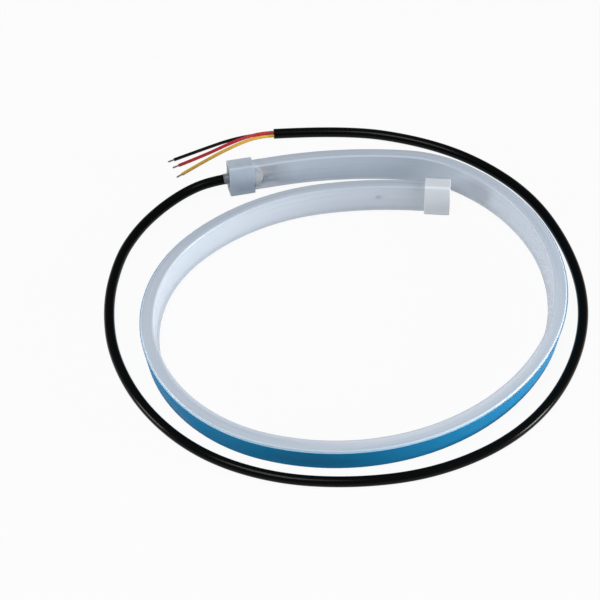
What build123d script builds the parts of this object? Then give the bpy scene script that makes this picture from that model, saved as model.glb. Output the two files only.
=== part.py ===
"""Flexible daytime running light: a coiled silicone light strip with capped ends and a lead cable."""

import os
from math import asin, cos, radians, sin, sqrt, tan

from build123d import *

# All sizes are millimetres. The strip's section has its adhesive back outside and its lens inside.
strip_length = 600.0
circuit_width = 10.0
circuit_thickness = 0.25
circuit_side_gap = 0.15
edge_wall = 1.1
back_wall = 0.8
lens_wall = 1.1
core_side_gap = 0.25
sleeve_edge_radius = 0.8
bond_gap = 0.02

# Light emitters and their resistors along the flexible circuit
led_pitch = 8.0
led_size = (0.8, 3.5, 2.8)
led_rim = 0.35
led_window_depth = 0.2
resistor_size = (0.55, 3.2, 1.6)
leds_per_resistor = 3
led_margin = 8.0
solder_gap = 0.06

# Milky channel that spreads the emitters' light and hides them
diffuser_wall = 0.4
diffuser_end_gap = 0.6

# Adhesive tape and its release liner on the back of the sleeve
tape_width = 10.5
tape_thickness = 0.3
liner_thickness = 0.15
liner_overhang = 0.2
tape_end_gap = 1.5

# End caps and the sealant that closes them
cap_overlap = 7.5
cap_end_wall = 2.0
cap_wall = 0.9
cap_clearance = 0.1
cap_corner_radius = 1.0
cap_edge_radius = 0.3
cable_recess_depth = 1.3
cable_recess_lip = 0.9
sealant_clearance = 0.05
sealant_nose = 4.2
sealant_collar_length = 2.3
sealant_collar_width = 0.6

# Lead cable, its three cores and their bare ends
wire_diameter = 1.45
wire_gap = 0.06
jacket_wall = 0.6
cable_hole_clearance = 0.1
conductor_diameter = 0.8
conductor_length = 3.0

# Solder joints that hold the cores on the circuit
pad_pitch = 3.0
joint_size = (1.4, 2.0, 3.0)
joint_edge_radius = 0.5
joint_inset = 1.7
circuit_end_gap = 0.6
lead_straight = 1.5

# How the strip lies: straight where its ends are sealed and soldered, then bends, each a share of
# the coiled length (percent) and a turn (degrees)
straight_margin = 0.5
start_heading = 12.6
outward_lean = 10.0
coil_bends = (
    (9.8, 17.3),
    (4.2, 26.5),
    (21.4, 86.4),
    (23.0, 79.7),
    (23.9, 115.4),
    (10.8, 37.2),
    (6.9, 14.0),
)

# Sizes that follow from those above
wire_pitch_radius = (wire_diameter + wire_gap) / sqrt(3)
core_bundle = 2 * wire_pitch_radius + wire_diameter
cable_diameter = core_bundle + 2 * jacket_wall
cavity_depth = core_bundle + 2 * core_side_gap
cavity_height = circuit_width + 2 * circuit_side_gap
sleeve_height = cavity_height + 2 * edge_wall
sleeve_thickness = back_wall + cavity_depth + lens_wall
cavity_back = sleeve_thickness / 2 - back_wall
cavity_front = cavity_back - cavity_depth
cavity_middle = cavity_back - cavity_depth / 2
circuit_face = cavity_back - bond_gap - circuit_thickness
cap_height = sleeve_height + 2 * (cap_clearance + cap_wall)
cap_thickness = sleeve_thickness + 2 * (cap_clearance + cap_wall)
diffuser_depth = circuit_face - cavity_front - 2 * bond_gap
diffuser_height = cavity_height - 2 * bond_gap
cable_cap_rim = cap_end_wall + cable_recess_depth
tail_pocket = cap_overlap + cable_recess_depth
tail_nose_end = tail_pocket + sealant_nose
circuit_start = cap_overlap + sealant_nose + circuit_end_gap
circuit_stop = strip_length - tail_nose_end - circuit_end_gap
joint_start = circuit_start + joint_inset
joint_stop = joint_start + joint_size[2]
tape_start = cap_overlap + tape_end_gap
tape_stop = strip_length - tail_pocket - tape_end_gap
cable_end_straight = joint_stop + straight_margin
tail_end_straight = tail_nose_end + straight_margin
coiled_length = strip_length - cable_end_straight - tail_end_straight

# Route of the cable round a strip of routed_strip_length: x, y and the lift off the floor
routed_strip_length = 600.0
cable_exit_run = 11.0
cable_route = (
    (-72.0, 67.6, 3.0),
    (-83.0, 59.2, 0.4),
    (-92.0, 46.5, 0.0),
    (-98.8, 30.0, 0.0),
    (-102.5, 4.0, 0.0),
    (-99.0, -26.0, 0.0),
    (-85.0, -56.0, 0.0),
    (-62.5, -79.0, 0.0),
    (-33.5, -91.5, 0.0),
    (-1.5, -94.0, 0.0),
    (30.0, -89.0, 0.0),
    (58.5, -74.0, 0.0),
    (79.0, -52.0, 0.0),
    (92.0, -23.0, 0.0),
    (96.0, 7.0, 0.0),
    (90.5, 38.0, 0.0),
    (77.0, 68.0, 0.0),
    (55.0, 90.0, 0.0),
    (30.0, 103.0, 0.0),
    (-2.0, 110.0, 0.0),
    (-34.0, 107.5, 0.0),
)

# Routes of the free cores, stated in the same way
wire_exit_run = 7.0
wire_routes = {
    "red": ((-52.0, 103.2, 0.6), (-63.7, 95.6, 0.0), (-75.1, 89.0, 0.0)),
    "yellow": ((-51.5, 101.0, 0.3), (-63.0, 92.6, 0.0), (-73.5, 83.5, 0.0)),
    "black": ((-53.0, 105.0, 0.3), (-65.5, 98.9, 0.0), (-77.2, 92.6, 0.0)),
}
arc_share = 0.45

# Where each core sits round the cable's axis (degrees), and its row on the solder pads
wire_angles = {"red": 90.0, "yellow": 330.0, "black": 210.0}
lead_angles = {"red": 60.0, "yellow": 180.0, "black": 300.0}
lead_rows = {"red": 1, "yellow": 0, "black": -1}


def reach_below(thickness, height, radius):
    """Height of a leaning rounded section's centre above its lowest point."""
    flat = (height / 2 - radius) * cos(radians(outward_lean))
    side = (thickness / 2 - radius) * sin(radians(outward_lean))
    return flat + side + radius


# Centre line of the strip, drawn flat first and then laid on its caps and its front bend
with BuildLine() as flat_coil:
    straight_start = PolarLine((0, 0), cable_end_straight, start_heading)
    bend_point = straight_start @ 1
    bend_heading = straight_start % 1
    for share, turn in coil_bends:
        bend_radius = coiled_length * share / 100 / radians(turn)
        bend = JernArc(bend_point, bend_heading, bend_radius, -turn)
        bend_point = bend @ 1
        bend_heading = bend % 1
    Line(bend_point, bend_point + bend_heading * tail_end_straight)

flat_box = flat_coil.wire().bounding_box()
sleeve_reach = reach_below(sleeve_thickness, sleeve_height, sleeve_edge_radius)
cap_reach = reach_below(cap_thickness, cap_height, cap_corner_radius)
tail_point = flat_coil.wire() @ 1
coil_tilt = asin((cap_reach - sleeve_reach) / (tail_point.Y - flat_box.min.Y))
coil_slope = Vector(0, cos(coil_tilt), sin(coil_tilt))
coil_origin = Vector(-flat_box.center().X, 0, sleeve_reach)
coil_origin += coil_slope * -flat_box.center().Y + Vector(0, 0, flat_box.size.Y / 2 * sin(coil_tilt))
coil_plane = Plane(origin=coil_origin, x_dir=(1, 0, 0), z_dir=Vector(1, 0, 0).cross(coil_slope))
centre_line = coil_plane.from_local_coords(flat_coil.wire())


def station(distance):
    """Section plane at a distance along the strip: x to its back, y up its height, z along it."""
    point = centre_line.position_at(distance, PositionMode.LENGTH)
    along = centre_line.tangent_at(distance, PositionMode.LENGTH)
    outward = coil_plane.z_dir.cross(along)
    lean = radians(outward_lean)
    return Plane(origin=point, x_dir=outward * cos(lean) - coil_plane.z_dir * sin(lean), z_dir=along)


def stretch(start, end):
    """Centre line between two distances along the strip."""
    return centre_line.trim(start / strip_length, end / strip_length)


cable_end = station(0)
cable_axis = Plane(
    origin=cable_end.from_local_coords(Vector(cavity_middle, 0, 0)),
    x_dir=cable_end.x_dir,
    z_dir=cable_end.z_dir,
)
tail_end = station(strip_length)
tail_inward = Plane(origin=tail_end.origin, x_dir=tail_end.x_dir, z_dir=-tail_end.z_dir)


def cavity_plug(end_plane, capped_length):
    """Sealant in the end of the cavity, from the sleeve's end to its rounded nose past the cap."""
    side_plane = Plane(origin=end_plane.origin, x_dir=end_plane.z_dir, z_dir=-end_plane.x_dir)
    half_height = cavity_height / 2 - sealant_clearance
    half_depth = cavity_depth / 2 - sealant_clearance
    with BuildSketch(side_plane.offset(-cavity_middle)) as side_view:
        with BuildLine():
            upper_side = Line((capped_length, half_height), (0, half_height))
            lower_side = Line((0, -half_height), (capped_length, -half_height))
            Line(upper_side @ 1, lower_side @ 0)
            ThreePointArc(lower_side @ 1, (capped_length + sealant_nose, 0), upper_side @ 0)
        make_face()
    extrude(side_view.sketch, amount=half_depth, both=True)


def laid(route, diameter):
    """Points of a cord's route, sized with the strip and lifted to the cord's centre."""
    size = strip_length / routed_strip_length
    return [Vector(x * size, y * size, lift + diameter / 2) for x, y, lift in route]


def cord_line(label, points):
    """Straight runs joined by arcs as large as the runs allow; prints the arcs' radii."""
    radii = []
    for before, corner, after in zip(points, points[1:], points[2:]):
        shorter_run = min((corner - before).length, (after - corner).length)
        half_turn = radians((corner - before).get_angle(after - corner)) / 2
        radii.append(arc_share * shorter_run / tan(half_turn))
    print(label, "radii", [round(radius, 1) for radius in radii])
    with BuildLine() as line:
        FilletPolyline(*points, radius=radii)
    return line.wire()


def cord_tube(line, diameter, mode=Mode.ADD):
    """Round tube along a cord's line."""
    with BuildSketch(Plane(origin=line @ 0, z_dir=line % 0)) as section:
        Circle(diameter / 2)
    sweep(section.sketch, path=line, mode=mode)


def core_point(plane, angle):
    """Centre of one of the three cores in the plane of the jacket's end."""
    return plane.from_local_coords(Vector(wire_pitch_radius, 0, 0).rotate(Axis.Z, angle))


# Silicone sleeve: a hollow extrusion with a thin back and a thicker lens
with BuildPart() as silicone_sleeve:
    with BuildSketch(cable_end):
        RectangleRounded(sleeve_thickness, sleeve_height, sleeve_edge_radius)
        with Locations((cavity_middle, 0)):
            Rectangle(cavity_depth, cavity_height, mode=Mode.SUBTRACT)
    sweep(path=centre_line)

# Flexible circuit on the back wall of the cavity
with BuildPart() as flex_circuit:
    with BuildSketch(station(circuit_start)):
        with Locations((circuit_face, 0)):
            Rectangle(circuit_thickness, circuit_width, align=(Align.MIN, Align.CENTER))
    sweep(path=stretch(circuit_start, circuit_stop))

# White and amber emitters by turns, with a resistor after every few
first_led = joint_stop + led_margin
last_led = circuit_stop - led_margin
led_count = int((last_led - first_led) / led_pitch) + 1
led_distances = [first_led + led_pitch * i for i in range(led_count)]
resistor_distances = [distance + led_pitch / 2 for distance in led_distances[1:-1:leds_per_resistor]]
chip_seat = Location((circuit_face - solder_gap, 0, 0))
chip_align = (Align.MAX, Align.CENTER, Align.CENTER)
led_face = Location((circuit_face - solder_gap - led_size[0], 0, 0))
led_window = (led_window_depth, led_size[1] - 2 * led_rim, led_size[2] - 2 * led_rim)
window_align = (Align.MIN, Align.CENTER, Align.CENTER)

with BuildPart() as white_leds:
    with Locations(*[station(distance) for distance in led_distances[0::2]]):
        with Locations(chip_seat):
            Box(*led_size, align=chip_align)
        with Locations(led_face):
            Box(*led_window, align=window_align, mode=Mode.SUBTRACT)

with BuildPart() as amber_leds:
    with Locations(*[station(distance) for distance in led_distances[1::2]]):
        with Locations(chip_seat):
            Box(*led_size, align=chip_align)
        with Locations(led_face):
            Box(*led_window, align=window_align, mode=Mode.SUBTRACT)

with BuildPart() as resistors:
    with Locations(*[station(distance) for distance in resistor_distances]):
        with Locations(chip_seat):
            Box(*resistor_size, align=chip_align)

# Diffuser channel: it stands on the circuit's margins, with its web against the lens
diffuser_start = joint_stop + diffuser_end_gap
with BuildPart() as diffuser_channel:
    with BuildSketch(station(diffuser_start)):
        with Locations((cavity_front + bond_gap, 0)):
            Rectangle(diffuser_depth, diffuser_height, align=(Align.MIN, Align.CENTER))
        with Locations((cavity_front + bond_gap + diffuser_wall, 0)):
            Rectangle(
                diffuser_depth - diffuser_wall,
                diffuser_height - 2 * diffuser_wall,
                align=(Align.MIN, Align.CENTER),
                mode=Mode.SUBTRACT,
            )
    sweep(path=stretch(diffuser_start, circuit_stop))

# Solder joints on the circuit's three pads
with BuildPart() as solder_joints:
    with Locations(station(joint_start)):
        with Locations(*[(circuit_face - bond_gap, pad_pitch * row, 0) for row in lead_rows.values()]):
            Box(*joint_size, align=(Align.MAX, Align.CENTER, Align.MIN))
    joint_faces = solder_joints.faces().sort_by(Axis(cable_end.origin, cable_end.x_dir))
    fillet(joint_faces[: len(lead_rows)].edges(), joint_edge_radius)

# Adhesive tape on the sleeve's back, and the liner that covers it
with BuildPart() as adhesive_tape:
    with BuildSketch(station(tape_start)):
        with Locations((sleeve_thickness / 2 + bond_gap, 0)):
            Rectangle(tape_thickness, tape_width, align=(Align.MIN, Align.CENTER))
    sweep(path=stretch(tape_start, tape_stop))

with BuildPart() as release_liner:
    with BuildSketch(station(tape_start - liner_overhang)):
        with Locations((sleeve_thickness / 2 + tape_thickness + 2 * bond_gap, 0)):
            Rectangle(liner_thickness, tape_width + 2 * liner_overhang, align=(Align.MIN, Align.CENTER))
    sweep(path=stretch(tape_start - liner_overhang, tape_stop + liner_overhang))

# Cap at the cable's end: a pocket for the sleeve, a recess and a hole for the cable
with BuildPart() as cable_cap:
    with BuildSketch(cable_end.offset(-cable_cap_rim)):
        RectangleRounded(cap_thickness, cap_height, cap_corner_radius)
    extrude(amount=cable_cap_rim + cap_overlap)
    fillet(cable_cap.faces().filter_by(cable_end).edges(), cap_edge_radius)
    with BuildSketch(cable_end):
        RectangleRounded(
            sleeve_thickness + 2 * cap_clearance,
            sleeve_height + 2 * cap_clearance,
            sleeve_edge_radius + cap_clearance,
        )
    extrude(amount=cap_overlap, mode=Mode.SUBTRACT)
    with BuildSketch(cable_end.offset(-cap_end_wall)):
        RectangleRounded(
            cap_thickness - 2 * cable_recess_lip,
            cap_height - 2 * cable_recess_lip,
            cap_corner_radius - cap_edge_radius,
        )
    extrude(amount=-cable_recess_depth, mode=Mode.SUBTRACT)
    with BuildSketch(cable_axis):
        Circle(cable_diameter / 2 + cable_hole_clearance)
    extrude(amount=-cap_end_wall, mode=Mode.SUBTRACT)

# Closed cap at the tail end, as long as the other, with a deeper pocket in place of the recess
with BuildPart() as tail_cap:
    with BuildSketch(tail_inward.offset(-cap_end_wall)):
        RectangleRounded(cap_thickness, cap_height, cap_corner_radius)
    extrude(amount=cap_end_wall + tail_pocket)
    fillet(tail_cap.faces().filter_by(tail_inward).edges(), cap_edge_radius)
    with BuildSketch(tail_inward):
        RectangleRounded(
            sleeve_thickness + 2 * cap_clearance,
            sleeve_height + 2 * cap_clearance,
            sleeve_edge_radius + cap_clearance,
        )
    extrude(amount=tail_pocket, mode=Mode.SUBTRACT)

# Cores between the jacket's end and the solder joints
lead_seat = circuit_face - bond_gap - wire_diameter / 2
lead_lines = {}
for colour, row in lead_rows.items():
    jacket_face = core_point(cable_axis, lead_angles[colour])
    pad = cable_end.from_local_coords(Vector(lead_seat, pad_pitch * row, joint_start))
    along = cable_end.z_dir
    lead_points = [jacket_face, jacket_face + along * lead_straight, pad - along * lead_straight, pad]
    lead_lines[colour] = cord_line(f"{colour}_lead", lead_points)

leads = {}
for colour, line in lead_lines.items():
    with BuildPart() as lead:
        cord_tube(line, wire_diameter)
    leads[f"{colour}_lead"] = lead

# Clear sealant inside the sleeve, round the cores at one end and whole at the other
with BuildPart() as cable_end_sealant:
    cavity_plug(cable_end, cap_overlap)
    for line in lead_lines.values():
        cord_tube(line, wire_diameter + 2 * sealant_clearance, mode=Mode.SUBTRACT)

with BuildPart() as tail_sealant:
    cavity_plug(tail_inward, tail_pocket)

# Clear sealant that fills the cap's recess and tapers out along the cable
with BuildPart() as cable_entry_sealant:
    with BuildSketch(cable_end.offset(-cap_end_wall - sealant_clearance)):
        RectangleRounded(
            cap_thickness - 2 * (cable_recess_lip + sealant_clearance),
            cap_height - 2 * (cable_recess_lip + sealant_clearance),
            cap_corner_radius - cap_edge_radius,
        )
    extrude(amount=-(cable_recess_depth - sealant_clearance))
    with Locations(cable_axis.offset(-cable_cap_rim)):
        Cone(
            cable_diameter / 2 + sealant_clearance,
            cable_diameter / 2 + sealant_collar_width,
            sealant_collar_length,
            align=(Align.CENTER, Align.CENTER, Align.MAX),
        )
    with BuildSketch(cable_axis):
        Circle(cable_diameter / 2 + sealant_clearance)
    extrude(amount=-(cable_cap_rim + sealant_collar_length), mode=Mode.SUBTRACT)

# Jacket of the lead cable
cable_exit = cable_axis.origin - cable_axis.z_dir * cable_exit_run
cable_points = [cable_axis.origin, cable_exit, *laid(cable_route, cable_diameter)]
cable_line = cord_line("cable_jacket", cable_points)
with BuildPart() as cable_jacket:
    cord_tube(cable_line, cable_diameter)

# Free cores and their bare ends past the jacket
jacket_end = Plane(origin=cable_line @ 1, x_dir=Vector(0, 0, 1).cross(cable_line % 1), z_dir=cable_line % 1)
wire_lines = {}
for colour, route in wire_routes.items():
    wire_start = core_point(jacket_end, wire_angles[colour])
    wire_exit = wire_start + jacket_end.z_dir * wire_exit_run
    wire_points = [wire_start, wire_exit, *laid(route, wire_diameter)]
    wire_lines[colour] = cord_line(f"{colour}_wire", wire_points)

wires = {}
for colour, line in wire_lines.items():
    with BuildPart() as wire:
        cord_tube(line, wire_diameter)
    wires[f"{colour}_wire"] = wire

conductors = {}
for colour, line in wire_lines.items():
    with BuildPart() as conductor:
        with BuildSketch(Plane(origin=line @ 1, z_dir=line % 1)):
            Circle(conductor_diameter / 2)
        extrude(amount=conductor_length)
    conductors[f"{colour}_conductor"] = conductor

pieces = {
    "silicone_sleeve": silicone_sleeve,
    "flex_circuit": flex_circuit,
    "white_leds": white_leds,
    "amber_leds": amber_leds,
    "resistors": resistors,
    "diffuser_channel": diffuser_channel,
    "solder_joints": solder_joints,
    "adhesive_tape": adhesive_tape,
    "release_liner": release_liner,
    "cable_cap": cable_cap,
    "tail_cap": tail_cap,
    "cable_end_sealant": cable_end_sealant,
    "tail_sealant": tail_sealant,
    "cable_entry_sealant": cable_entry_sealant,
    "cable_jacket": cable_jacket,
    **leads,
    **wires,
    **conductors,
}
os.makedirs("parts", exist_ok=True)
for name, piece in pieces.items():
    piece.part.label = name
    export_step(piece.part, f"parts/{name}.step")

cords = {"cable_jacket": (cable_jacket, cable_line, cable_diameter)}
for colour, line in wire_lines.items():
    cords[f"{colour}_wire"] = (wires[f"{colour}_wire"], line, wire_diameter)
for name, (piece, line, diameter) in cords.items():
    tube_volume = Circle(diameter / 2).area * line.length
    print(name, "length", round(line.length, 1), "volume ratio", round(piece.part.volume / tube_volume, 4))
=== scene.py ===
"""Dress the coiled daytime running light strip and set it in a plain studio."""

import logging
import math
from dataclasses import dataclass, replace
from enum import Enum, IntEnum

import bpy
from mathutils import Matrix, Vector


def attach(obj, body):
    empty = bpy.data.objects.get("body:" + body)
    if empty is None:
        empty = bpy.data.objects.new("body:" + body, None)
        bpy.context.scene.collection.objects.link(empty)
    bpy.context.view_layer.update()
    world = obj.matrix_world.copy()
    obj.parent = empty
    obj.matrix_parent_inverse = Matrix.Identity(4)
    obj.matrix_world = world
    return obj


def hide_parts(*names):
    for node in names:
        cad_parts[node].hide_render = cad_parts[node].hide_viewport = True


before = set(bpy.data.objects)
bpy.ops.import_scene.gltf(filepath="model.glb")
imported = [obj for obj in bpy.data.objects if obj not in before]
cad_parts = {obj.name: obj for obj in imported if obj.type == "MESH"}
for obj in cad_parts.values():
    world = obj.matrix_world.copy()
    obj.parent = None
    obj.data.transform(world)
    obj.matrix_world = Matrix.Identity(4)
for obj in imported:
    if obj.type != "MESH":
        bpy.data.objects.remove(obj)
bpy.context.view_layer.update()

Colour = tuple[float, float, float, float]
Triple = tuple[float, float, float]
Loop = list[tuple[float, float]]
Ring = list[Vector]
Inputs = dict[str | int, object]

LOG = logging.getLogger("running_light")
MM = 0.001
PER_CENT = 0.01
QUARTER_TURN = math.radians(90.0)
BODY = "root"
UP = Vector((0.0, 0.0, 1.0))

# A Mix node's colour sockets go by number, because its other types share their names
MIX_FIRST, MIX_SECOND, MIX_RESULT = 6, 7, 2

# Clouds with some detail in them, and a plainer grain
CLOUD_DETAIL, CLOUD_BREAKUP = 4.0, 0.55
GRAIN_DETAIL, GRAIN_BREAKUP = 2.0, 0.5

# Most of a noise texture lies between these two values
NOISE_LOW, NOISE_HIGH = 0.3, 0.7

# Light under the skin of silicone, foam and PVC spreads alike in all colours, about a millimetre
SCATTER_SHARES = (1.0, 1.0, 1.0)
SCATTER_REACH = 1.0 * MM

# A smooth piece keeps an edge crisp where it turns by more than this
SHARP_TURN = math.radians(40.0)

# Corners of a face between two rings, as steps along the rings and around them
FACE_CORNERS = ((0, 0), (0, 1), (1, 1), (1, 0))

# Corners of a section, anticlockwise, the steps of each corner's arc and the points on each side,
# of which the first and the last stand close to the corners to keep the shading of the sides flat
SECTION_CORNERS = ((1, 1), (-1, 1), (-1, -1), (1, -1))
ARC_STEPS = 4
SIDE_SHARES = (0.02, 0.25, 0.5, 0.75, 0.98)

# A cord's spline: the order that bends it smoothly, and the points that are read for each segment
SPLINE_ORDER = 3
SPLINE_STEPS = 12


def linear(hex_code: str) -> Colour:
    """Turn an sRGB hex colour into linear RGBA.

    Args:
        hex_code: Six hex digits.

    Returns:
        Linear red, green and blue, with an alpha of one.
    """
    knee, slope, offset, power = 0.04045, 12.92, 0.055, 2.4
    shares = [byte / 255 for byte in bytes.fromhex(hex_code)]
    red, green, blue = [
        share / slope if share <= knee else ((share + offset) / (1 + offset)) ** power
        for share in shares
    ]
    return red, green, blue, 1.0


def per_metre(size_mm: float) -> float:
    """Texture scale at which a pattern repeats about every size_mm millimetres."""
    return 1.0 / (size_mm * MM)


def add_node(
    tree: bpy.types.NodeTree, kind: str, inputs: Inputs | None = None, **settings: object
) -> bpy.types.Node:
    """Add a shader node with its settings and links.

    Args:
        tree: The material's or the world's node tree.
        kind: Blender's name for the node.
        inputs: A value, or the output socket to link, for each input by name or number.
        settings: The node's own properties.

    Returns:
        The new node.
    """
    node = tree.nodes.new(kind)
    for name, value in settings.items():
        setattr(node, name, value)
    for name, value in (inputs or {}).items():
        if isinstance(value, bpy.types.NodeSocket):
            tree.links.new(value, node.inputs[name])
        else:
            node.inputs[name].default_value = value
    return node


class Pattern(Enum):
    """Which coordinates a finish draws its pattern on."""

    OBJECT = "Object"
    SWEPT = "UV"


@dataclass(frozen=True)
class Spot:
    """A soft-edged oval on a swept piece.

    Attributes:
        along_mm: Where its middle is along the piece, from the piece's first ring.
        around_mm: Where its middle is around the piece, from each ring's first point.
        length_mm: Its size along the piece.
        width_mm: Its size around the piece.
        edge_share: How far out its edge starts to fade, from 0 in the middle to 1.
    """

    along_mm: float
    around_mm: float
    length_mm: float
    width_mm: float
    edge_share: float

    def share(self, tree: bpy.types.NodeTree) -> bpy.types.NodeSocket:
        """Add the nodes that draw the oval.

        Args:
            tree: The material's node tree.

        Returns:
            A socket that is one inside the oval and zero outside it.
        """
        where = add_node(tree, "ShaderNodeTexCoord").outputs[Pattern.SWEPT.value]
        middle = (self.along_mm * MM, self.around_mm * MM, 0.0)
        halves = (per_metre(self.length_mm / 2), per_metre(self.width_mm / 2), 0.0)
        offset = add_node(
            tree, "ShaderNodeVectorMath", {0: where, 1: middle}, operation="SUBTRACT"
        ).outputs["Vector"]
        shares = add_node(
            tree, "ShaderNodeVectorMath", {0: offset, 1: halves}, operation="MULTIPLY"
        ).outputs["Vector"]
        reach = add_node(
            tree, "ShaderNodeVectorMath", {0: shares}, operation="LENGTH"
        ).outputs["Value"]
        return add_node(
            tree,
            "ShaderNodeMapRange",
            {
                "Value": reach,
                "From Min": self.edge_share,
                "From Max": 1.0,
                "To Min": 1.0,
                "To Max": 0.0,
            },
        ).outputs["Result"]


@dataclass(frozen=True)
class Finish:
    """A real material, how its surface was made and what that gives the eye.

    Two tones mix in soft clouds, which make the gloss uneven too, and a finer grain gives relief.

    Attributes:
        name: The real material's name.
        tone: Its colour, as sRGB hex.
        cloud_tone: The colour of the clouds in it, as sRGB hex.
        roughness: The middle of its roughness.
        gloss_spread: How far the clouds take the roughness up and down.
        ior: Its index of refraction, which a metal leaves at the default.
        metallic: One for a metal.
        specular: The level of its plain reflection.
        cloud_mm: Size of the clouds.
        grain_mm: Size of the grain.
        grain_height_mm: Height of the grain.
        subsurface: Share of the light that spreads under the skin.
        alpha: Share of what lies behind that it hides.
        pattern: The coordinates that clouds and grain lie on.
        stretch: Scale of the pattern on each coordinate.
        mark: A spot where something behind the surface shows through, if there is one.
        mark_tone: The colour of that spot, as sRGB hex.
        clear: A spot that hides less than the rest, if there is one.
        clear_alpha: Share of what lies behind that this spot hides.
    """

    name: str
    tone: str
    cloud_tone: str
    roughness: float
    gloss_spread: float = 0.08
    ior: float = 1.5
    metallic: float = 0.0
    specular: float = 0.5
    cloud_mm: float = 6.0
    grain_mm: float = 0.5
    grain_height_mm: float = 0.02
    subsurface: float = 0.0
    alpha: float = 1.0
    pattern: Pattern = Pattern.OBJECT
    stretch: Triple = (1.0, 1.0, 1.0)
    mark: Spot | None = None
    mark_tone: str = "000000"
    clear: Spot | None = None
    clear_alpha: float = 1.0

    def material(self) -> bpy.types.Material:
        """Make the material.

        Returns:
            The Blender material, ready for a slot.
        """
        made = bpy.data.materials.new(self.name)
        made.use_nodes = True
        tree = made.node_tree
        tree.nodes.clear()
        where = add_node(tree, "ShaderNodeTexCoord").outputs[self.pattern.value]
        place = add_node(
            tree, "ShaderNodeMapping", {"Vector": where, "Scale": self.stretch}
        ).outputs["Vector"]
        cloud = add_node(
            tree,
            "ShaderNodeTexNoise",
            {
                "Vector": place,
                "Scale": per_metre(self.cloud_mm),
                "Detail": CLOUD_DETAIL,
                "Roughness": CLOUD_BREAKUP,
            },
        ).outputs["Fac"]
        grain = add_node(
            tree,
            "ShaderNodeTexNoise",
            {
                "Vector": place,
                "Scale": per_metre(self.grain_mm),
                "Detail": GRAIN_DETAIL,
                "Roughness": GRAIN_BREAKUP,
            },
        ).outputs["Fac"]
        colour = add_node(
            tree,
            "ShaderNodeMix",
            {
                "Factor": cloud,
                MIX_FIRST: linear(self.tone),
                MIX_SECOND: linear(self.cloud_tone),
            },
            data_type="RGBA",
        ).outputs[MIX_RESULT]
        if self.mark:
            colour = add_node(
                tree,
                "ShaderNodeMix",
                {
                    "Factor": self.mark.share(tree),
                    MIX_FIRST: colour,
                    MIX_SECOND: linear(self.mark_tone),
                },
                data_type="RGBA",
            ).outputs[MIX_RESULT]
        alpha: float | bpy.types.NodeSocket = self.alpha
        if self.clear:
            alpha = add_node(
                tree,
                "ShaderNodeMapRange",
                {
                    "Value": self.clear.share(tree),
                    "To Min": self.alpha,
                    "To Max": self.clear_alpha,
                },
            ).outputs["Result"]
        gloss = add_node(
            tree,
            "ShaderNodeMapRange",
            {
                "Value": cloud,
                "From Min": NOISE_LOW,
                "From Max": NOISE_HIGH,
                "To Min": self.roughness - self.gloss_spread,
                "To Max": self.roughness + self.gloss_spread,
            },
        ).outputs["Result"]
        relief = add_node(
            tree,
            "ShaderNodeBump",
            {"Height": grain, "Strength": 1.0, "Distance": self.grain_height_mm * MM},
        ).outputs["Normal"]
        shader = add_node(
            tree,
            "ShaderNodeBsdfPrincipled",
            {
                "Base Color": colour,
                "Roughness": gloss,
                "Normal": relief,
                "IOR": self.ior,
                "Metallic": self.metallic,
                "Subsurface Weight": self.subsurface,
                "Subsurface Radius": SCATTER_SHARES,
                "Subsurface Scale": SCATTER_REACH,
                "Alpha": alpha,
                "Specular IOR Level": self.specular,
            },
        )
        add_node(tree, "ShaderNodeOutputMaterial", {"Surface": shader.outputs["BSDF"]})
        return made


# Extruded silicone: translucent, a little blue, satin, with streaks that the die drew out along it.
# Its edges, looked at along the walls, hide most of what they hold. Real streaks are a few tenths
# of a millimetre wide and are drawn at 2.6 mm, as coarse as they need to be to show.
SLEEVE_SILICONE = Finish(
    "translucent_silicone_edge",
    "B0C1D7",
    "E8EFF7",
    roughness=0.3,
    ior=1.41,
    cloud_mm=2.6,
    grain_mm=0.9,
    grain_height_mm=0.003,
    alpha=0.78,
    pattern=Pattern.SWEPT,
    stretch=(0.02, 1.0, 1.0),
)

# The same silicone over the lens, where one thin wall lets the sealant, the cores and the diffuser
# show. It is clearest over the sealant's round nose, which wets it from inside.
LENS_SILICONE = replace(
    SLEEVE_SILICONE,
    name="translucent_silicone_lens",
    tone="D0DDEC",
    cloud_tone="DCE6F2",
    alpha=0.5,
    clear=Spot(along_mm=6.5, around_mm=11.94, length_mm=10.4, width_mm=10.4, edge_share=0.93),
    clear_alpha=0.12,
)

# The same silicone round the cavity, wetted by what is bonded to it: hardly seen
CAVITY_SILICONE = replace(
    LENS_SILICONE, name="translucent_silicone_cavity", alpha=0.05, clear=None
)

# The same silicone at the back corners, opaque and scattering light from the lit edge down to the
# tape, with a tone lighter and bluer than the edges': partly real scattered light and partly a
# painted highlight, a pale blue line of light along the film
CORNER_SILICONE = replace(
    SLEEVE_SILICONE,
    name="translucent_silicone_corner",
    tone="BDD8EC",
    cloud_tone="D2E5F3",
    subsurface=1.0,
    alpha=1.0,
)

# Extruded silicone filled with white pigment: milky, so the emitters behind it blur away. It thins
# out at its cable end, and near its tail one chip behind it shows as a soft grey mark.
DIFFUSER_SILICONE = Finish(
    "milky_silicone_diffuser",
    "E8EDF3",
    "F0F3F7",
    roughness=0.5,
    ior=1.41,
    cloud_mm=14.0,
    grain_height_mm=0.006,
    mark=Spot(along_mm=547.6, around_mm=8.51, length_mm=3.8, width_mm=2.2, edge_share=0.5),
    mark_tone="8E9AA2",
    clear=Spot(along_mm=0.0, around_mm=8.51, length_mm=14.0, width_mm=400.0, edge_share=0.0),
    clear_alpha=0.2,
)

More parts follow.
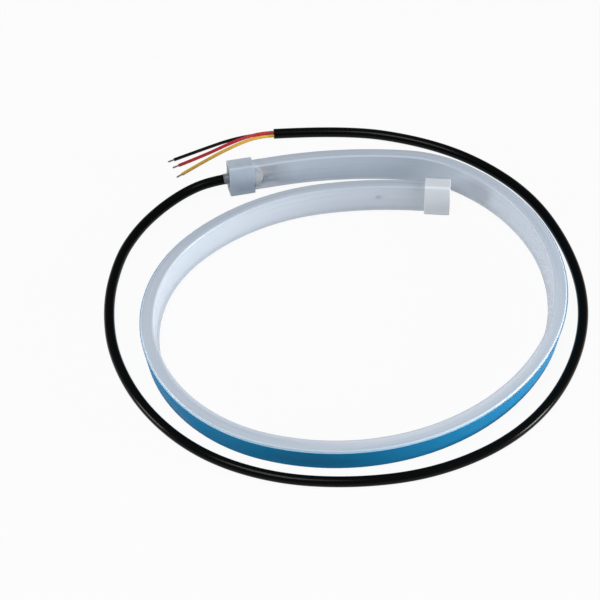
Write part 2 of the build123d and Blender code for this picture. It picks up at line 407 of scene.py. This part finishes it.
# Moulded silicone with the matte skin of a blasted mould: soft, with no clear reflection. The
# skin's grit, about 0.05 mm, is drawn at 0.3 mm, so that it shows in a close view.
CAP_SILICONE = Finish(
    "moulded_silicone_cap",
    "ECF3FD",
    "F4F9FF",
    roughness=0.6,
    ior=1.41,
    specular=0.2,
    cloud_mm=5.0,
    grain_mm=0.3,
    grain_height_mm=0.01,
    alpha=0.8,
)

# The same silicone over the cable, its tone darker all over: painted shade, standing in for the
# shade the cap stands in and for the black jacket inside it
CABLE_CAP_SILICONE_PAINTED_SHADE = replace(
    CAP_SILICONE, name="moulded_silicone_cap_painted_shade", tone="BECBDA", cloud_tone="CFDAE6"
)

# Clear silicone sealant, squeezed in wet: glossy, with a lumpy skin. Its near-white, almost opaque
# tone is painted brightness standing in for the glints and bright refraction of the clear sealant:
# a painted highlight
CLEAR_SEALANT = Finish(
    "clear_silicone_sealant",
    "FAFBFC",
    "FEFEFE",
    roughness=0.08,
    gloss_spread=0.04,
    ior=1.41,
    specular=1.0,
    cloud_mm=3.0,
    grain_mm=1.3,
    grain_height_mm=0.35,
    alpha=0.92,
)

# The same sealant as a thin smear round the cable: clear, so the black jacket shows through
SEALANT_SMEAR = replace(
    CLEAR_SEALANT, name="clear_silicone_smear", tone="98A0A8", cloud_tone="CCD2D8", alpha=0.28
)

# Polyester release film, dyed blue and siliconed: smooth, with a soft sheen and faint draw marks
LINER_FILM = Finish(
    "blue_release_film",
    "0680B6",
    "0E8CC2",
    roughness=0.5,
    ior=1.45,
    specular=0.06,
    cloud_mm=18.0,
    grain_mm=1.2,
    grain_height_mm=0.008,
    stretch=(1.0, 1.0, 2.5),
)

# Acrylic foam tape, slit to width: matte, with cut pores along its edges. The pores, under 0.1 mm,
# are drawn at 0.25 mm, so that they show in a close view.
ADHESIVE_FOAM = Finish(
    "acrylic_foam_tape",
    "E4EAF0",
    "F0F3F6",
    roughness=0.7,
    cloud_mm=1.0,
    grain_mm=0.25,
    grain_height_mm=0.03,
    subsurface=0.3,
)

# Polyimide circuit under white solder mask: flat and even, with the relief of its copper tracks
CIRCUIT_FILM = Finish(
    "white_masked_circuit", "F4F4F2", "FAFAF8", roughness=0.36, cloud_mm=9.0, grain_mm=1.6
)

# Emitter packages, white moulded reflectors filled with phosphor gel: glossy, yellow and amber
WHITE_EMITTER = Finish(
    "white_emitter_gel", "EFE3A2", "F2EBC4", roughness=0.3, cloud_mm=1.6, grain_mm=0.6
)
AMBER_EMITTER = Finish(
    "amber_emitter_gel", "E8B368", "F0CB92", roughness=0.3, cloud_mm=1.6, grain_mm=0.6
)

# Chip resistors, black glass glaze fired on ceramic: dark, with a dull gloss
RESISTOR_CERAMIC = Finish(
    "glazed_resistor", "17181A", "26282B", roughness=0.33, cloud_mm=0.8, grain_mm=0.3
)

# Reflowed tin solder: bright metal, frosted in patches as it froze
SOLDER = Finish(
    "reflowed_solder", "B9BABB", "CFD0D0", roughness=0.3, metallic=1.0, cloud_mm=0.7, grain_mm=0.2
)

# Extruded black PVC jacket: satin, with faint scuffs and draw lines along it. The lines, about
# 0.1 mm wide, are drawn at 0.45 mm, so that they show in the highlight.
JACKET_PVC = Finish(
    "black_pvc_jacket",
    "060707",
    "0A0B0B",
    roughness=0.17,
    gloss_spread=0.04,
    ior=1.45,
    specular=0.1,
    cloud_mm=7.0,
    grain_mm=0.45,
    grain_height_mm=0.012,
    pattern=Pattern.SWEPT,
    stretch=(0.12, 1.0, 1.0),
)

# Tinned copper, drawn to strands: bright, and dull grey where handled. The die's lines, finer than
# a hundredth of a millimetre, are drawn at 0.15 mm, so that they show in a close view.
TINNED_COPPER = Finish(
    "tinned_copper_strands",
    "A8A8A6",
    "C4C3C0",
    roughness=0.34,
    metallic=1.0,
    cloud_mm=0.6,
    grain_mm=0.15,
)


class CoreColour(Enum):
    """The cable's three cores by the colour of their insulation."""

    RED = "red"
    YELLOW = "yellow"
    BLACK = "black"


# Extruded PVC insulation: semi-gloss, a little translucent in the light colours. Its skin's grain,
# about 0.1 mm, is drawn at 0.5 mm, so that it shows in a close view.
CORE_FINISHES = {
    CoreColour.RED: Finish(
        "red_pvc_insulation", "B81F2C", "C7303B", roughness=0.32, cloud_mm=3.0, subsurface=0.15
    ),
    CoreColour.YELLOW: Finish(
        "yellow_pvc_insulation", "E0AC3C", "EABD55", roughness=0.32, cloud_mm=3.0, subsurface=0.15
    ),
    CoreColour.BLACK: Finish(
        "black_pvc_insulation", "0C0C0D", "141415", roughness=0.34, specular=0.2, cloud_mm=3.0
    ),
}


class SleeveSlot(IntEnum):
    """The sleeve's material slots, by where its faces lie."""

    EDGE = 0
    LENS = 1
    CAVITY = 2
    CORNER = 3


SLEEVE_FINISHES = {
    SleeveSlot.EDGE: SLEEVE_SILICONE,
    SleeveSlot.LENS: LENS_SILICONE,
    SleeveSlot.CAVITY: CAVITY_SILICONE,
    SleeveSlot.CORNER: CORNER_SILICONE,
}


def finish_nodes(finish: Finish, *names: str) -> list[bpy.types.Object]:
    """Give CAD nodes a finish in place of their plain one.

    Args:
        finish: The finish they share.
        names: The nodes' names.

    Returns:
        The nodes' objects.
    """
    material = finish.material()
    pieces = [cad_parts[name] for name in names]
    for piece in pieces:
        piece.data.materials.clear()
        piece.data.materials.append(material)
    return pieces


def new_object(name: str, mesh: bpy.types.Mesh, *finishes: Finish) -> bpy.types.Object:
    """Link a mesh into the scene as a piece with its finishes.

    Args:
        name: The piece's name.
        mesh: Its mesh.
        finishes: One finish for each material slot, in order.

    Returns:
        The new object, which rides on the part's one body.
    """
    piece = bpy.data.objects.new(name, mesh)
    bpy.context.scene.collection.objects.link(piece)
    for finish in finishes:
        mesh.materials.append(finish.material())
    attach(piece, BODY)
    return piece


def centre_of(ring: Ring) -> Vector:
    """Middle of a ring of points."""
    return sum(ring, Vector()) / len(ring)


def shrunk(ring: Ring, share: float, shift: Vector) -> Ring:
    """A ring drawn in towards its middle and shifted."""
    middle = centre_of(ring)
    return [middle + (point - middle) * share + shift for point in ring]


def ring_mesh(name: str, rings: list[Ring], capped: bool) -> bpy.types.Mesh:
    """Skin a row of rings with faces, smooth along the row.

    Args:
        name: The mesh's name.
        rings: Rings of equal count, each in order round the section.
        capped: Whether a face closes each end.

    Returns:
        A mesh whose UV map holds metres along the rings and metres round the first of them.
    """
    count = len(rings[0])
    rows = len(rings) - 1
    faces = []
    for row in range(rows):
        for side in range(count):
            faces.append(
                tuple(
                    (row + along) * count + (side + across) % count
                    for along, across in FACE_CORNERS
                )
            )
    if capped:
        faces.append(tuple(reversed(range(count))))
        faces.append(tuple(range(rows * count, len(rings) * count)))
    mesh = bpy.data.meshes.new(name)
    mesh.from_pydata([point for ring in rings for point in ring], [], faces)
    lengths = [0.0]
    for before, after in zip(rings, rings[1:]):
        lengths.append(lengths[-1] + (centre_of(after) - centre_of(before)).length)
    around = [0.0]
    for side in range(count):
        around.append(around[-1] + (rings[0][(side + 1) % count] - rings[0][side]).length)
    layer = mesh.uv_layers.new(name="along_around")
    for face in mesh.polygons:
        row, side = divmod(face.index, count)
        face.use_smooth = row < rows
        for corner, loop in enumerate(face.loop_indices):
            if row < rows:
                along, across = FACE_CORNERS[corner]
                layer.data[loop].uv = (lengths[row + along], around[side + across])
            else:
                layer.data[loop].uv = (0.0, around[face.vertices[corner] % count])
    mesh.update()
    return mesh


def rounded_loop(width: float, height: float, radius: float, middle: float) -> Loop:
    """Points of a rounded rectangle, anticlockwise, with support points beside its corners.

    Args:
        width: Size along the section's x.
        height: Size along the section's y.
        radius: Corner radius.
        middle: Place of the rectangle's middle along x.

    Returns:
        Points in order round the outline.
    """
    arcs = []
    for index, (side_x, side_y) in enumerate(SECTION_CORNERS):
        centre_x = middle + side_x * (width / 2 - radius)
        centre_y = side_y * (height / 2 - radius)
        turns = [QUARTER_TURN * (index + step / ARC_STEPS) for step in range(ARC_STEPS + 1)]
        arcs.append(
            [
                (centre_x + radius * math.cos(turn), centre_y + radius * math.sin(turn))
                for turn in turns
            ]
        )
    loop: Loop = []
    for arc, following in zip(arcs, [*arcs[1:], arcs[0]]):
        (start_x, start_y), (end_x, end_y) = arc[-1], following[0]
        loop += arc
        loop += [
            (start_x + (end_x - start_x) * share, start_y + (end_y - start_y) * share)
            for share in SIDE_SHARES
        ]
    return loop


def tube_frames(line: list[Vector]) -> list[tuple[Vector, Vector]]:
    """Carry two directions across the line along it without twist.

    Args:
        line: Points of a smooth line.

    Returns:
        The two directions at each point.
    """
    tangents = []
    for index in range(len(line)):
        before = line[max(index - 1, 0)]
        after = line[min(index + 1, len(line) - 1)]
        tangents.append((after - before).normalized())
    across = tangents[0].cross(UP).normalized()
    frames = []
    for tangent in tangents:
        across = (across - tangent * across.dot(tangent)).normalized()
        frames.append((across, tangent.cross(across)))
    return frames


def tube_rings(line: list[Vector], radius: float, sides: int) -> list[Ring]:
    """Rings of a round tube along a line.

    Args:
        line: Points of a smooth line.
        radius: The tube's radius.
        sides: Points in a ring.

    Returns:
        One ring for each point of the line.
    """
    rings = []
    for point, (across, over) in zip(line, tube_frames(line)):
        ring = []
        for side in range(sides):
            angle = math.tau * side / sides
            ring.append(point + (across * math.cos(angle) + over * math.sin(angle)) * radius)
        rings.append(ring)
    return rings


@dataclass(frozen=True)
class CoilPath:
    """Centre line of the strip: straight ends, tangent bends between them and the section's lean.

    Each bend has its share of the coiled length, in per cent, and its turn, in degrees.
    """

    length: float = 600.0 * MM
    cable_straight: float = 17.5 * MM
    tail_straight: float = 13.5 * MM
    heading: float = math.radians(12.6)
    lean: float = math.radians(10.0)
    bends: tuple[tuple[float, float], ...] = (
        (9.8, 17.3),
        (4.2, 26.5),
        (21.4, 86.4),
        (23.0, 79.7),
        (23.9, 115.4),
        (10.8, 37.2),
        (6.9, 14.0),
    )

    def flat(self, distance: float) -> tuple[Vector, float]:
        """Follow the line as drawn flat.

        Args:
            distance: Metres from the cable's end.

        Returns:
            The point, from a start at zero, and the heading there.
        """
        point = Vector((0.0, 0.0))
        heading = self.heading
        coiled = self.length - self.cable_straight - self.tail_straight
        spans = [(self.cable_straight, 0.0)]
        spans += [(coiled * share * PER_CENT, math.radians(turn)) for share, turn in self.bends]
        spans += [(self.tail_straight, 0.0)]
        left = distance
        for span, turn in spans:
            run = min(left, span)
            bend = turn * run / span
            chord = run if bend == 0 else 2 * (span / turn) * math.sin(bend / 2)
            middle = heading - bend / 2
            point += Vector((math.cos(middle), math.sin(middle))) * chord
            heading -= bend
            left -= run
        return point, heading

    def reach(self, thickness: float, height: float, radius: float) -> float:
        """Measure from a leaning rounded section's lowest point up to its centre.

        Args:
            thickness: The section's size from the lens to the back.
            height: The section's size up the strip.
            radius: Its corner radius.

        Returns:
            The height of the centre, in metres.
        """
        flat = (height / 2 - radius) * math.cos(self.lean)
        side = (thickness / 2 - radius) * math.sin(self.lean)
        return flat + side + radius


@dataclass
class LightStrip:
    """The silicone sleeve and what it holds: the diffuser and the circuit with all that is on it.

    The glow share is how much of the back corners' radius takes the corner finish, with its
    scattered light and painted highlight, and the nose is the rounded end of the tail's sealant.
    """

    path: CoilPath
    height: float = 12.5 * MM
    thickness: float = 5.5936 * MM
    edge_radius: float = 0.8 * MM
    glow_share: float = 0.65
    back_wall: float = 0.8 * MM
    lens_wall: float = 1.1 * MM
    edge_wall: float = 1.1 * MM
    cavity_radius: float = 0.1 * MM
    circuit_thickness: float = 0.25 * MM
    bond_gap: float = 0.02 * MM
    diffuser_wall: float = 0.4 * MM
    diffuser_start: float = 17.6 * MM
    diffuser_stop: float = 586.4 * MM
    web_steps: int = 10
    nose_length: float = 4.2 * MM
    nose_gap: float = 0.6 * MM
    nose_clearance: float = 0.05 * MM
    cap_height: float = 14.5 * MM
    cap_thickness: float = 7.5936 * MM
    cap_radius: float = 1.0 * MM
    station_step: float = 1.5 * MM

    def distances(self) -> list[float]:
        """Even steps along the whole strip, in metres from the cable's end."""
        steps = round(self.path.length / self.station_step)
        return [self.path.length * step / steps for step in range(steps + 1)]

    def lay(self) -> Matrix:
        """Lay the flat line down, its middle over the origin.

        Returns:
            The move that rests the strip on its front edge and on the thicker caps at the back.
        """
        line = [self.path.flat(distance)[0] for distance in self.distances()]
        low = Vector((min(point.x for point in line), min(point.y for point in line), 0.0))
        high = Vector((max(point.x for point in line), max(point.y for point in line), 0.0))
        front = self.path.reach(self.thickness, self.height, self.edge_radius)
        back = self.path.reach(self.cap_thickness, self.cap_height, self.cap_radius)
        tilt = math.asin((back - front) / (line[-1].y - low.y))
        lift = front + (high.y - low.y) / 2 * math.sin(tilt)
        tilted = Matrix.Translation(UP * lift) @ Matrix.Rotation(tilt, 4, "X")
        return tilted @ Matrix.Translation((low + high) / -2)

    def stations(self, start: float, stop: float) -> list[Matrix]:
        """Section frames along a stretch of the strip.

        Args:
            start: Metres from the cable's end to the stretch.
            stop: Metres from the cable's end to where it ends.

        Returns:
            One matrix each step: x to the adhesive back, y up the section, z along the strip.
        """
        lay = self.lay()
        between = [distance for distance in self.distances() if start < distance < stop]
        found = []
        for distance in (start, *between, stop):
            point, heading = self.path.flat(distance)
            along = Vector((math.cos(heading), math.sin(heading), 0.0))
            outward = Vector((-along.y, along.x, 0.0))
            side = outward * math.cos(self.path.lean) - UP * math.sin(self.path.lean)
            section = Matrix((side, along.cross(side), along)).transposed().to_4x4()
            found.append(lay @ Matrix.Translation(point.to_3d()) @ section)
        return found

    def sleeve(self) -> bpy.types.Object:
        """Build the hollow extrusion.

        Returns:
            The sleeve, in place of its plain solid.
        """
        depth = self.thickness - self.back_wall - self.lens_wall
        middle = (self.lens_wall - self.back_wall) / 2
        outer = rounded_loop(self.thickness, self.height, self.edge_radius, 0.0)
        inner = rounded_loop(depth, self.height - 2 * self.edge_wall, self.cavity_radius, middle)
        stations = self.stations(0.0, self.path.length)
        outside = [[station @ Vector((x, y, 0)) for x, y in outer] for station in stations]
        inside = [[station @ Vector((x, y, 0)) for x, y in inner] for station in reversed(stations)]
        mesh = ring_mesh("silicone_extrusion", [*outside, *inside, outside[0]], capped=False)
        glow_start = self.thickness / 2 - self.edge_radius * self.glow_share
        for face in mesh.polygons:
            row, side = divmod(face.index, len(outer))
            here, after = outer[side][0], outer[(side + 1) % len(outer)][0]
            if len(stations) <= row < 2 * len(stations) - 1:
                face.material_index = SleeveSlot.CAVITY
            elif math.isclose(here, -self.thickness / 2):
                face.material_index = SleeveSlot.LENS
            elif min(here, after) > glow_start:
                face.material_index = SleeveSlot.CORNER
        piece = new_object("silicone_extrusion", mesh, *SLEEVE_FINISHES.values())
        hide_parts("silicone_sleeve")
        return piece

    def nose_reach(self, across: float) -> float:
        """Measure from the diffuser's last station to the rounded nose of the tail's sealant.

        Args:
            across: Distance from the middle of the section's height.

        Returns:
            Metres along the strip, less a hair of clearance.
        """
        half = self.height / 2 - self.edge_wall - self.nose_clearance
        bow = (half**2 + self.nose_length**2) / (2 * self.nose_length)
        rise = bow - math.sqrt(bow**2 - min(abs(across), half) ** 2)
        return self.nose_gap - self.nose_clearance + rise

    def diffuser(self) -> bpy.types.Object:
        """Build the channel on the circuit, its web against the lens, its end cut to the sealant.

        Returns:
            The channel, in place of its plain solid.
        """
        web = -self.thickness / 2 + self.lens_wall + self.bond_gap
        foot = self.thickness / 2 - self.back_wall - self.circuit_thickness - 2 * self.bond_gap
        edge = self.height / 2 - self.edge_wall - self.bond_gap
        wall = self.diffuser_wall
        rows = [1 - 2 * step / self.web_steps for step in range(self.web_steps + 1)]
        outline = [
            (foot, edge),
            *((web, edge * row) for row in rows),
            (foot, -edge),
            (foot, wall - edge),
            *((web + wall, (wall - edge) * row) for row in rows),
            (foot, edge - wall),
        ]
        stations = self.stations(self.diffuser_start, self.diffuser_stop)
        rings = [[station @ Vector((x, y, 0)) for x, y in outline] for station in stations]
        rings.append([stations[-1] @ Vector((x, y, self.nose_reach(y))) for x, y in outline])
        mesh = ring_mesh("diffuser_extrusion", rings, capped=True)
        mesh.set_sharp_from_angle(angle=SHARP_TURN)
        piece = new_object("diffuser_extrusion", mesh, DIFFUSER_SILICONE)
        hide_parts("diffuser_channel")
        return piece

    def dress(self) -> list[bpy.types.Object]:
        """Build the sleeve and the diffuser and finish the rest.

        Returns:
            The strip's pieces.
        """
        pieces = [self.sleeve(), self.diffuser()]
        pieces += finish_nodes(CIRCUIT_FILM, "flex_circuit")
        pieces += finish_nodes(WHITE_EMITTER, "white_leds")
        pieces += finish_nodes(AMBER_EMITTER, "amber_leds")
        pieces += finish_nodes(RESISTOR_CERAMIC, "resistors")
        pieces += finish_nodes(SOLDER, "solder_joints")
        for colour in CoreColour:
            pieces += finish_nodes(CORE_FINISHES[colour], f"{colour.value}_lead")
        return pieces


@dataclass
class AdhesiveBack:
    """The foam tape on the strip's back and the film that covers it."""

    def dress(self) -> list[bpy.types.Object]:
        """Finish the tape and its liner."""
        tape = finish_nodes(ADHESIVE_FOAM, "adhesive_tape")
        return tape + finish_nodes(LINER_FILM, "release_liner")


@dataclass
class SealedEnds:
    """The two end caps and the sealant in them."""

    def dress(self) -> list[bpy.types.Object]:
        """Finish the caps and the sealant.

        Returns:
            The ends' pieces.
        """
        # The cable cap takes the darker copy of the cap silicone: painted shade
        pieces = finish_nodes(CABLE_CAP_SILICONE_PAINTED_SHADE, "cable_cap")
        pieces += finish_nodes(CAP_SILICONE, "tail_cap")
        pieces += finish_nodes(CLEAR_SEALANT, "cable_end_sealant", "tail_sealant")
        pieces += finish_nodes(SEALANT_SMEAR, "cable_entry_sealant")
        return pieces


@dataclass(frozen=True)
class Route:
    """A cord's points, in metres, from where it starts."""

    points: tuple[Triple, ...]

    def line(self) -> list[Vector]:
        """Read the smooth line that the points control.

        Returns:
            Closely spaced points of the route's NURBS spline.
        """
        curve = bpy.data.curves.new("route", "CURVE")
        curve.dimensions = "3D"
        spline = curve.splines.new("NURBS")
        spline.points.add(len(self.points) - 1)
        for control, place in zip(spline.points, self.points):
            control.co = (*place, 1.0)
        spline.order_u = SPLINE_ORDER
        spline.use_endpoint_u = True
        spline.resolution_u = SPLINE_STEPS
        carrier = bpy.data.objects.new("route", curve)
        mesh = bpy.data.meshes.new_from_object(carrier)
        found = [vertex.co.copy() for vertex in mesh.vertices]
        bpy.data.objects.remove(carrier)
        bpy.data.curves.remove(curve)
        bpy.data.meshes.remove(mesh)
        return found


# The cords' control points are those of their solids
CABLE_ROUTE = Route(
    (
        (-0.04999, 0.07432, 0.00771),
        (-0.06072, 0.07192, 0.00769),
        (-0.0720, 0.0676, 0.0052),
        (-0.0830, 0.0592, 0.0026),
        (-0.0920, 0.0465, 0.0022),
        (-0.0988, 0.0300, 0.0022),
        (-0.1025, 0.0040, 0.0022),
        (-0.0990, -0.0260, 0.0022),
        (-0.0850, -0.0560, 0.0022),
        (-0.0625, -0.0790, 0.0022),
        (-0.0335, -0.0915, 0.0022),
        (-0.0015, -0.0940, 0.0022),
        (0.0300, -0.0890, 0.0022),
        (0.0585, -0.0740, 0.0022),
        (0.0790, -0.0520, 0.0022),
        (0.0920, -0.0230, 0.0022),
        (0.0960, 0.0070, 0.0022),
        (0.0905, 0.0380, 0.0022),
        (0.0770, 0.0680, 0.0022),
        (0.0550, 0.0900, 0.0022),
        (0.0300, 0.1030, 0.0022),
        (-0.0020, 0.1100, 0.0022),
        (-0.0340, 0.1075, 0.0022),
    )
)
CORE_ROUTES = {
    CoreColour.RED: Route(
        (
            (-0.03400, 0.10750, 0.00307),
            (-0.04098, 0.10695, 0.00307),
            (-0.0520, 0.1032, 0.001325),
            (-0.0637, 0.0956, 0.000725),
            (-0.0751, 0.0890, 0.000725),
        )
    ),
    CoreColour.YELLOW: Route(
        (
            (-0.03394, 0.10675, 0.00176),
            (-0.04092, 0.10620, 0.00176),
            (-0.0515, 0.1010, 0.001025),
            (-0.0630, 0.0926, 0.000725),
            (-0.0735, 0.0835, 0.000725),
        )
    ),
    CoreColour.BLACK: Route(
        (
            (-0.03406, 0.10825, 0.00176),
            (-0.04104, 0.10771, 0.00176),
            (-0.0530, 0.1050, 0.001025),
            (-0.0655, 0.0989, 0.000725),
            (-0.0772, 0.0926, 0.000725),
        )
    ),
}


@dataclass
class LeadCable:
    """The lead cable, its three free cores and their bare ends."""

    diameter: float = 4.3936 * MM
    jacket_wall: float = 0.6 * MM
    cut_depth: float = 0.9 * MM
    length: float = 597.1 * MM
    core_diameter: float = 1.45 * MM
    core_length: float = 46.4 * MM
    bare_length: float = 3.0 * MM
    outer_strands: int = 6
    strand_diameter: float = 0.26 * MM
    strand_lay: float = 9.0 * MM
    strand_packing: float = 1.02
    strand_splay: float = 0.12
    tube_sides: int = 32
    core_sides: int = 20
    strand_sides: int = 8
    strand_steps: int = 12

    def jacket(self) -> bpy.types.Object:
        """Build the jacket, with the wall of its cut end showing.

        Returns:
            The jacket, in place of its plain solid.
        """
        line = CABLE_ROUTE.line()
        rings = tube_rings(line, self.diameter / 2, self.tube_sides)
        inner_share = 1 - 2 * self.jacket_wall / self.diameter
        back = (line[-2] - line[-1]).normalized() * self.cut_depth
        end = rings[-1]
        rings += [shrunk(end, inner_share, Vector()), shrunk(end, inner_share, back)]
        mesh = ring_mesh("cable_sheath", rings, capped=True)
        mesh.set_sharp_from_angle(angle=SHARP_TURN)
        piece = new_object("cable_sheath", mesh, JACKET_PVC)
        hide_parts("cable_jacket")
        return piece

    def core(self, colour: CoreColour) -> list[bpy.types.Object]:
        """Build one free core and its bare end.

        Args:
            colour: Which core.

        Returns:
            The core, in place of its plain solid, and the strands on it.
        """
        name = f"{colour.value}_core"
        line = CORE_ROUTES[colour].line()
        rings = tube_rings(line, self.core_diameter / 2, self.core_sides)
        mesh = ring_mesh(name, rings, capped=True)
        mesh.set_sharp_from_angle(angle=SHARP_TURN)
        piece = new_object(name, mesh, CORE_FINISHES[colour])
        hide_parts(f"{colour.value}_wire")
        strands = self.strands(colour, line)
        return [piece, strands]

    def strands(self, colour: CoreColour, line: list[Vector]) -> bpy.types.Object:
        """Build the twisted strands of a bare end.

        Args:
            colour: Which core they belong to.
            line: The core's own line.

        Returns:
            The outer strands and one in the middle as one piece, in place of the plain conductor.
        """
        name = f"{colour.value}_strands"
        along = (line[-1] - line[-2]).normalized()
        across, over = tube_frames(line)[-1]
        points: list[Vector] = []
        faces: list[tuple[int, ...]] = []
        smooth: list[bool] = []
        for strand in range(self.outer_strands + 1):
            is_middle = strand == self.outer_strands
            radius = 0.0 if is_middle else self.strand_diameter * self.strand_packing
            path = []
            for step in range(self.strand_steps + 1):
                run = self.bare_length * step / self.strand_steps
                angle = math.tau * (strand / self.outer_strands + run / self.strand_lay)
                spread = radius * (1 + self.strand_splay * (run / self.bare_length) ** 2)
                sideways = across * math.cos(angle) + over * math.sin(angle)
                path.append(line[-1] + along * run + sideways * spread)
            rings = tube_rings(path, self.strand_diameter / 2, self.strand_sides)
            mesh = ring_mesh(name, rings, capped=True)
            first = len(points)
            points += [vertex.co.copy() for vertex in mesh.vertices]
            faces += [tuple(first + index for index in face.vertices) for face in mesh.polygons]
            smooth += [face.use_smooth for face in mesh.polygons]
            bpy.data.meshes.remove(mesh)
        joined = bpy.data.meshes.new(name)
        joined.from_pydata(points, [], faces)
        joined.polygons.foreach_set("use_smooth", smooth)
        piece = new_object(name, joined, TINNED_COPPER)
        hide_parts(f"{colour.value}_conductor")
        return piece

    def dress(self) -> list[bpy.types.Object]:
        """Build the jacket and its cores.

        Returns:
            The cable's pieces.
        """
        pieces = [self.jacket()]
        for colour in CoreColour:
            pieces += self.core(colour)
        return pieces


@dataclass(frozen=True)
class Softbox:
    """A square soft light that faces the part, its place and size in metres."""

    name: str
    place: Triple
    size: float
    watts: float

    def hang(self) -> None:
        """Hang the light and turn it to the part."""
        lamp = bpy.data.lights.new(self.name, "AREA")
        lamp.shape = "SQUARE"
        lamp.size = self.size
        lamp.energy = self.watts
        holder = bpy.data.objects.new(self.name, lamp)
        holder.location = self.place
        holder.rotation_euler = (-Vector(self.place)).to_track_quat("-Z", "Y").to_euler()
        bpy.context.scene.collection.objects.link(holder)


@dataclass
class Studio:
    """A pale floor, soft light and the camera."""

    floor_size: float = 8.0
    floor_tone: str = "C8C9CA"
    paper_white: float = 0.94
    air_tone: str = "FFFFFF"
    ambient: float = 0.19
    elevation: float = math.radians(46.0)
    aim: Triple = (-22.52 * MM, 8.53 * MM, 0.0)
    distance: float = 1329.0 * MM
    focal_pixels: float = 3190.0
    picture_pixels: float = 600.0
    sensor_mm: float = 36.0
    softboxes: tuple[Softbox, ...] = (
        Softbox("top_softbox", (-0.4, -0.45, 1.4), size=0.7, watts=12.4),
        Softbox("right_softbox", (1.28, -0.22, 0.2), size=0.36, watts=18.0),
        Softbox("left_softbox", (-1.28, -0.1, 0.25), size=0.36, watts=6.5),
    )

    def floor(self) -> None:
        """Lay the floor: white to the eye, shaded a little where the part keeps the light off."""
        half = self.floor_size / 2
        corners = [(-half, -half, 0), (half, -half, 0), (half, half, 0), (-half, half, 0)]
        mesh = bpy.data.meshes.new("studio_floor")
        mesh.from_pydata(corners, [], [(0, 1, 2, 3)])
        piece = bpy.data.objects.new("studio_floor", mesh)
        bpy.context.scene.collection.objects.link(piece)
        made = bpy.data.materials.new("white_paper")
        made.use_nodes = True
        tree = made.node_tree
        tree.nodes.clear()
        paper = add_node(tree, "ShaderNodeBsdfDiffuse", {"Color": linear(self.floor_tone)})
        white = add_node(tree, "ShaderNodeEmission", {"Strength": 1.0})
        ray = add_node(tree, "ShaderNodeLightPath").outputs
        seen = add_node(
            tree,
            "ShaderNodeMath",
            {0: ray["Is Camera Ray"], 1: ray["Is Glossy Ray"]},
            operation="MAXIMUM",
        ).outputs["Value"]
        shown = add_node(
            tree, "ShaderNodeMath", {0: seen, 1: ray["Is Transmission Ray"]}, operation="MAXIMUM"
        ).outputs["Value"]
        share = add_node(
            tree, "ShaderNodeMath", {0: shown, 1: self.paper_white}, operation="MULTIPLY"
        ).outputs["Value"]
        mixed = add_node(
            tree,
            "ShaderNodeMixShader",
            {0: share, 1: paper.outputs["BSDF"], 2: white.outputs["Emission"]},
        )
        add_node(tree, "ShaderNodeOutputMaterial", {"Surface": mixed.outputs["Shader"]})
        mesh.materials.append(made)

    def light(self) -> None:
        """Set the even light all round and hang the softboxes."""
        world = bpy.data.worlds.new("studio_air")
        bpy.context.scene.world = world
        world.use_nodes = True
        tree = world.node_tree
        tree.nodes.clear()
        air = add_node(
            tree,
            "ShaderNodeBackground",
            {"Color": linear(self.air_tone), "Strength": self.ambient},
        )
        add_node(tree, "ShaderNodeOutputWorld", {"Surface": air.outputs["Background"]})
        for softbox in self.softboxes:
            softbox.hang()
        bpy.context.scene.view_settings.view_transform = "Standard"

    def camera(self) -> None:
        """Stand the camera in front of the part, looking down on it."""
        lens = bpy.data.cameras.new("studio_camera")
        lens.sensor_width = self.sensor_mm
        lens.lens = self.focal_pixels / self.picture_pixels * self.sensor_mm
        holder = bpy.data.objects.new("studio_camera", lens)
        back = Vector((0, -math.cos(self.elevation), math.sin(self.elevation)))
        holder.location = Vector(self.aim) + back * self.distance
        holder.rotation_euler = (-back).to_track_quat("-Z", "Y").to_euler()
        bpy.context.scene.collection.objects.link(holder)
        bpy.context.scene.camera = holder

    def build(self) -> None:
        """Build the studio."""
        self.floor()
        self.light()
        self.camera()


def main() -> None:
    """Build each sub-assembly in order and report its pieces."""
    logging.basicConfig(level=logging.INFO, format="%(name)s: %(message)s")
    Studio().build()
    for assembly in (LeadCable(), LightStrip(CoilPath()), AdhesiveBack(), SealedEnds()):
        for piece in assembly.dress():
            finish = piece.data.materials[0].name
            LOG.info("%s: %s in %s", type(assembly).__name__, piece.name, finish)


if __name__ == "__main__":
    main()
